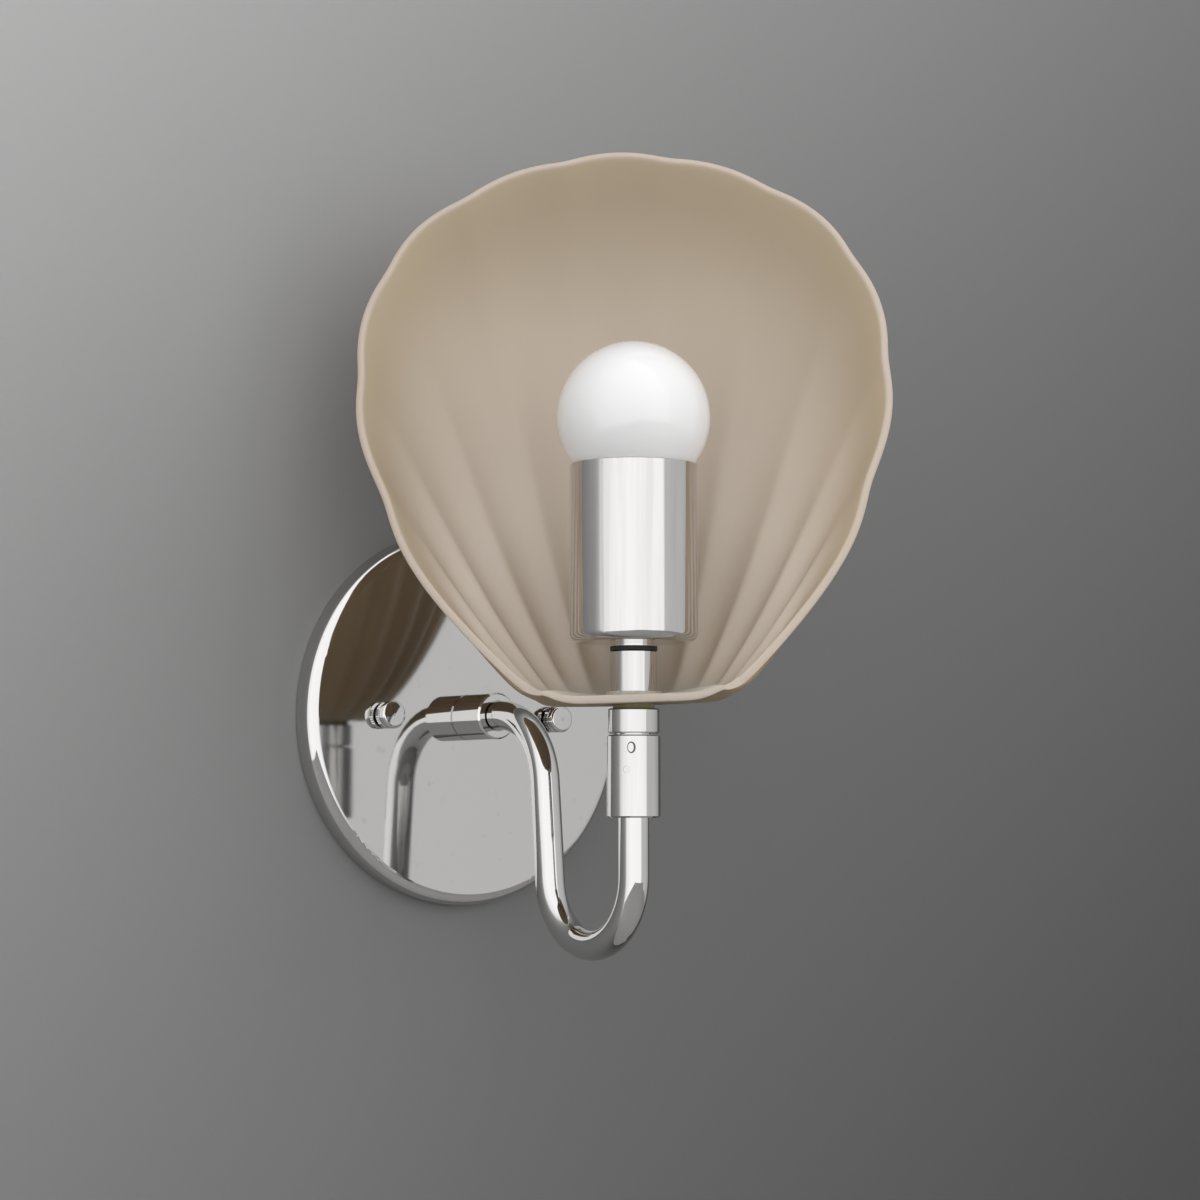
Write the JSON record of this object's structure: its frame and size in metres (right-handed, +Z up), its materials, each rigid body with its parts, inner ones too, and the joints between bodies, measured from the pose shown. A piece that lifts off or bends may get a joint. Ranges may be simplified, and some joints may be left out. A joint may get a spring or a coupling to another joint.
{
  "type": "shell wall sconce",
  "caption": "Wall sconce with a fluted glass shell shade and a globe bulb in a bright cup, on a swivelling head carried by a bent tube arm from a round canopy.",
  "frame": {"origin": "middle of the canopy's back rim plane, which lies on the wall", "axes": "+Z up, the wall is the plane y = 0, the front faces -Y, +X to the viewer's right"},
  "size_m": [0.1425, 0.1454, 0.274],
  "materials": {
    "polished_nickel": "polished nickel plate, mirror bright",
    "zinc_steel": "zinc plated pressed steel",
    "earth_green": "green dyed zinc plate",
    "yellow_brass": "plain drawn brass",
    "spring_steel": "oiled spring steel",
    "olive_fibre": "olive vulcanised fibre",
    "frosted_taupe_glass": "frosted taupe pressed glass, satin",
    "clear_gasket": "smoky soft washer",
    "dark_rubber": "black rubber",
    "moulded_black": "black thermoset moulding",
    "opal_glass": "opal glass, glossy outside",
    "plated_cap": "rolled bright cap",
    "black_glass_button": "black glass insulator",
    "solder": "soldered contact"
  },
  "bodies": {
    "wall_arm": {"canopy": "polished_nickel", "mounting_strap": "zinc_steel", "canopy_screws": "zinc_steel", "ground_screw": "earth_green", "arm_nipple": "yellow_brass", "nipple_lock_washer": "zinc_steel", "nipple_nut": "zinc_steel", "canopy_collar": "polished_nickel", "arm_tube": "polished_nickel", "swivel_body": "polished_nickel"},
    "nut_left": {"thumb_nut_left": "polished_nickel"},
    "nut_right": {"thumb_nut_right": "polished_nickel"},
    "lamp_head": {"swivel_head": "polished_nickel", "swivel_friction_washer": "spring_steel", "swivel_retaining_ring": "spring_steel", "shade_nipple": "yellow_brass", "lower_shade_washer": "olive_fibre", "shell_shade": "frosted_taupe_glass", "upper_shade_washer": "clear_gasket", "stem_spacer": "polished_nickel", "cup_washer": "dark_rubber", "cup_bush": "polished_nickel", "socket_cup": "polished_nickel", "cup_nut": "zinc_steel", "lampholder_cap": "moulded_black", "lampholder_body": "moulded_black", "screw_shell": "yellow_brass", "centre_contact": "yellow_brass"},
    "bulb": {"bulb_globe": "opal_glass", "bulb_base": "plated_cap", "bulb_insulator": "black_glass_button", "bulb_contact": "solder"}
  },
  "joints": [
    {"name": "shade_swivel", "type": "hinge", "parent": "wall_arm", "child": "lamp_head", "pos_m": [0, -0.102, 0], "axis": [0, 0, 1], "range_deg": [-127.5, 202.5]},
    {"name": "thumb_nut_left_turn", "type": "hinge", "parent": "wall_arm", "child": "nut_left", "pos_m": [-0.035, -0.0088, 0], "axis": [0, 1, 0], "continuous": true},
    {"name": "thumb_nut_right_turn", "type": "hinge", "parent": "wall_arm", "child": "nut_right", "pos_m": [0.035, -0.0088, 0], "axis": [0, 1, 0], "continuous": true},
    {"name": "bulb_unscrew", "type": "hinge", "parent": "lamp_head", "child": "bulb", "pos_m": [0, -0.102, 0.0681], "axis": [0, 0, 1], "continuous": true}
  ]
}
